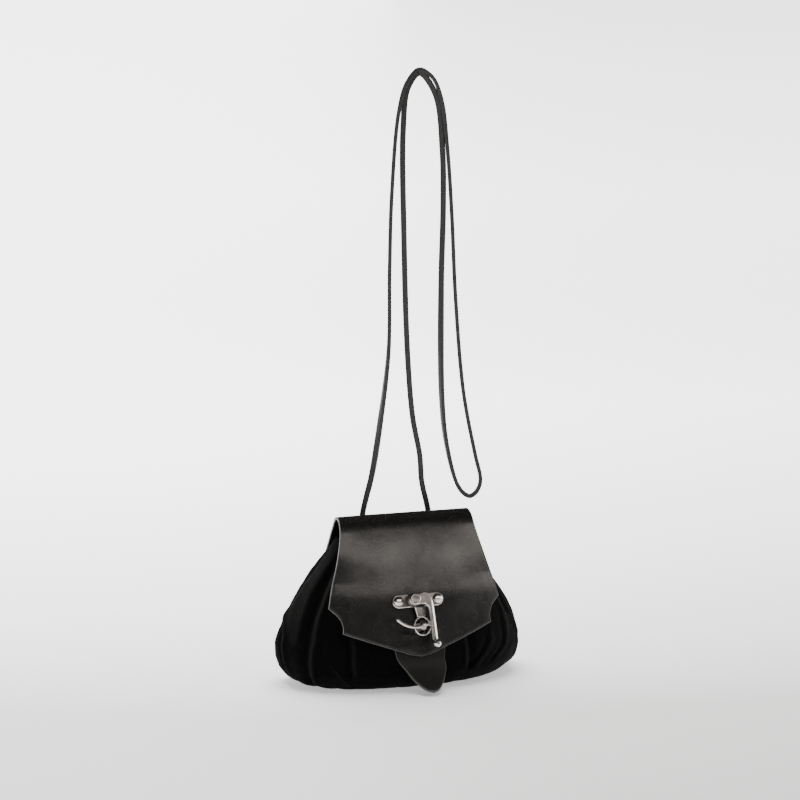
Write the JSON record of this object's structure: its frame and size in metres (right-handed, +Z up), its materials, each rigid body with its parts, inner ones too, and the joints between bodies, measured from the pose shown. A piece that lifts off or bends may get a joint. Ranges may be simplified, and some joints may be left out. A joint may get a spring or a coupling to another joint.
{
  "type": "belt bag",
  "caption": "Gathered suede belt pouch hanging from a long looped lace, under a stiff shield-shaped flap with a swinging lever clasp and a pointed tongue.",
  "frame": {"origin": "the point that the lace strap hangs from, at the underside of its upper bend", "axes": "+Z up, +Y towards the back of the bag, the wearer's side, +X along the bag's width, to the right when facing its front"},
  "size_m": [0.2512, 0.132, 0.6006],
  "materials": {
    "black_suede": "matt black suede",
    "black_leather": "rubbed black leather with a soft sheen and pale cut edges",
    "antique_silver": "worn warm silver with bright bevels",
    "strap_lace": "matt dark grey lace"
  },
  "bodies": {
    "bag": {"pouch": "black_suede", "flap": "black_leather", "tongue": "black_leather", "clasp_plate": "antique_silver", "rivet_left": "antique_silver", "rivet_right": "antique_silver", "pivot_post": "antique_silver", "stud": "antique_silver", "strap": "strap_lace", "strap_knot_left": "strap_lace", "strap_knot_right": "strap_lace"},
    "lever": {"lever": "antique_silver"}
  },
  "joints": [
    {"name": "lever_swing", "type": "hinge", "parent": "bag", "child": "lever", "pos_m": [-0.0276, -0.05347, -0.50631], "axis": [0, -0.9397, 0.342], "range_deg": [0, 75]}
  ]
}
